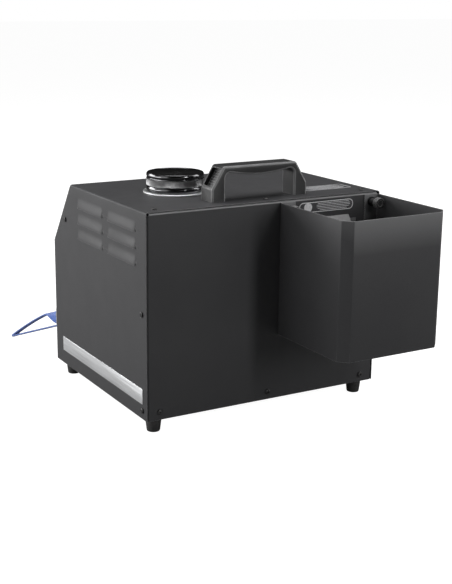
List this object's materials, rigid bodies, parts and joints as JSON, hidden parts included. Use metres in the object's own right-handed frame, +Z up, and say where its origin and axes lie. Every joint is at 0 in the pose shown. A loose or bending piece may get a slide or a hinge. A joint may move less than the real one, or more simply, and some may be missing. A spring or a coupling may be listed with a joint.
{
  "type": "fog machine",
  "caption": "Floor-standing fog machine: black sheet-metal case with louvred sides, carry handle, knurled filler cap and a lift-off open-top haze deflector hood.",
  "frame": {"origin": "bottom centre of the whole machine's bounding box, on the floor; the case's middle is 24 mm towards -Y", "axes": "+Z up; the deflector hood faces -Y; the side with the silver strip is -X"},
  "size_m": [0.378, 0.663, 0.35],
  "materials": {
    "powder_coat_black": "Fine-textured black powder coat on sheet steel",
    "turned_black_metal": "Black anodised turned metal with a knurled band",
    "brushed_silver": "Brushed bright metal",
    "zinc_steel": "Zinc-plated sheet and wire",
    "black_screw": "Blackened steel screws",
    "moulded_black": "Fine-grained black moulded plastic",
    "gloss_black_plastic": "Smooth black plastic",
    "black_rubber": "Black rubber",
    "milky_plastic": "Translucent white polyethylene and hose",
    "cast_aluminium": "Plain aluminium",
    "ceramic_wool": "White ceramic-fibre blanket",
    "brass_metal": "Brass",
    "copper_winding": "Taped copper winding",
    "circuit_board": "Green solder-masked board with parts",
    "display_glass": "Dark display face",
    "label_film": "Printed label film, plain",
    "blue_webbing": "Blue woven hook-and-loop strap"
  },
  "bodies": {
    "case": {"base_tray": "powder_coat_black", "front_panel": "powder_coat_black", "rear_panel": "powder_coat_black", "cover": "powder_coat_black", "case_screws": "black_screw", "rubber_feet": "black_rubber", "carry_handle": "moulded_black", "handle_screws": "zinc_steel", "side_strip": "brushed_silver", "warning_labels": "label_film", "filler_neck": "brushed_silver", "neck_nut": "cast_aluminium", "fluid_tank": "milky_plastic", "tank_stand": "zinc_steel", "pump_body": "gloss_black_plastic", "pump_coil": "copper_winding", "pump_frame": "zinc_steel", "pump_bracket": "zinc_steel", "pump_spring": "zinc_steel", "suction_tube": "milky_plastic", "delivery_tube": "milky_plastic", "heater_block": "cast_aluminium", "vapour_coil": "zinc_steel", "heater_cartridges": "brass_metal", "heater_insulation": "ceramic_wool", "heater_frame": "zinc_steel", "thermostat": "gloss_black_plastic", "outlet_nozzle": "brass_metal", "outlet_duct": "cast_aluminium", "duct_screws": "zinc_steel", "hood_nuts": "zinc_steel", "fan_frame": "gloss_black_plastic", "fan_guard": "zinc_steel", "control_board": "circuit_board", "display_module": "display_glass", "control_plate": "gloss_black_plastic", "board_standoffs": "brass_metal", "power_board": "circuit_board", "mains_inlet": "gloss_black_plastic", "fuse_holder": "gloss_black_plastic", "switch_housing": "gloss_black_plastic", "dmx_sockets": "gloss_black_plastic", "wiring_harness": "black_rubber", "strap_anchor": "zinc_steel"},
    "cap_seal": {"cap_seal": "black_rubber"},
    "cap_liner": {"cap_liner": "milky_plastic"},
    "filler_cap": {"filler_cap": "turned_black_metal"},
    "pump_piston": {"pump_piston": "zinc_steel"},
    "hood": {"hood": "powder_coat_black"},
    "left_washer": {"left_washer": "black_screw"},
    "left_thumbscrew": {"left_thumbscrew": "moulded_black"},
    "right_washer": {"right_washer": "black_screw"},
    "right_thumbscrew": {"right_thumbscrew": "moulded_black"},
    "fan_rotor": {"fan_rotor": "gloss_black_plastic"},
    "menu_button": {"menu_button": "gloss_black_plastic"},
    "down_button": {"down_button": "gloss_black_plastic"},
    "up_button": {"up_button": "gloss_black_plastic"},
    "enter_button": {"enter_button": "gloss_black_plastic"},
    "power_switch": {"power_switch": "gloss_black_plastic"},
    "cable_strap": {"cable_strap": "blue_webbing"}
  },
  "joints": [
    {"name": "hood_pull", "type": "slide", "parent": "case", "child": "hood", "axis": [0, -1, 0], "range_m": [0, 0.06]},
    {"name": "left_thumbscrew_out", "type": "slide", "parent": "hood", "child": "left_washer", "axis": [0, -1, 0], "range_m": [0, 0.0032]},
    {"name": "left_thumbscrew_turn", "type": "hinge", "parent": "left_washer", "child": "left_thumbscrew", "pos_m": [0.03, -0.18, 0.289], "axis": [0, -1, 0], "range_deg": [0, 1440]},
    {"name": "right_thumbscrew_out", "type": "slide", "parent": "hood", "child": "right_washer", "axis": [0, -1, 0], "range_m": [0, 0.0032]},
    {"name": "right_thumbscrew_turn", "type": "hinge", "parent": "right_washer", "child": "right_thumbscrew", "pos_m": [0.17, -0.18, 0.289], "axis": [0, -1, 0], "range_deg": [0, 1440]},
    {"name": "cap_lift", "type": "slide", "parent": "case", "child": "cap_seal", "axis": [0, 0, 1], "range_m": [0, 0.06]},
    {"name": "cap_rise", "type": "slide", "parent": "cap_seal", "child": "cap_liner", "axis": [0, 0, 1], "range_m": [0, 0.0045]},
    {"name": "cap_turn", "type": "hinge", "parent": "cap_liner", "child": "filler_cap", "pos_m": [-0.077, -0.055, 0.323], "axis": [0, 0, 1], "range_deg": [0, 540]},
    {"name": "fan_spin", "type": "hinge", "parent": "case", "child": "fan_rotor", "pos_m": [0.1, 0.1183, 0.126], "axis": [0, 1, 0], "continuous": true},
    {"name": "menu_press", "type": "slide", "parent": "case", "child": "menu_button", "axis": [0, -0.8143, -0.5804], "range_m": [0, 0.0008], "stiffness_N_per_m": 400},
    {"name": "down_press", "type": "slide", "parent": "case", "child": "down_button", "axis": [0, -0.8143, -0.5804], "range_m": [0, 0.0008], "stiffness_N_per_m": 400},
    {"name": "up_press", "type": "slide", "parent": "case", "child": "up_button", "axis": [0, -0.8143, -0.5804], "range_m": [0, 0.0008], "stiffness_N_per_m": 400},
    {"name": "enter_press", "type": "slide", "parent": "case", "child": "enter_button", "axis": [0, -0.8143, -0.5804], "range_m": [0, 0.0008], "stiffness_N_per_m": 400},
    {"name": "pump_stroke", "type": "slide", "parent": "case", "child": "pump_piston", "axis": [0, 1, 0], "range_m": [-0.002, 0.002], "stiffness_N_per_m": 800, "deforming": ["pump_spring"]},
    {"name": "power_rocker", "type": "hinge", "parent": "case", "child": "power_switch", "pos_m": [-0.072, 0.127, 0.083], "axis": [-1, 0, 0], "range_deg": [0, 20]},
    {"name": "strap_swing", "type": "hinge", "parent": "case", "child": "cable_strap", "pos_m": [-0.174, 0.1395, 0.088], "axis": [1, 0, 0], "range_deg": [0, 40]}
  ],
  "couplings": [
    {"joint": "left_thumbscrew_turn", "follows": "left_thumbscrew_out", "rad_per_m": 7854},
    {"joint": "right_thumbscrew_turn", "follows": "right_thumbscrew_out", "rad_per_m": 7854},
    {"joint": "cap_rise", "follows": "cap_turn", "m_per_rad": 0.00047746}
  ]
}
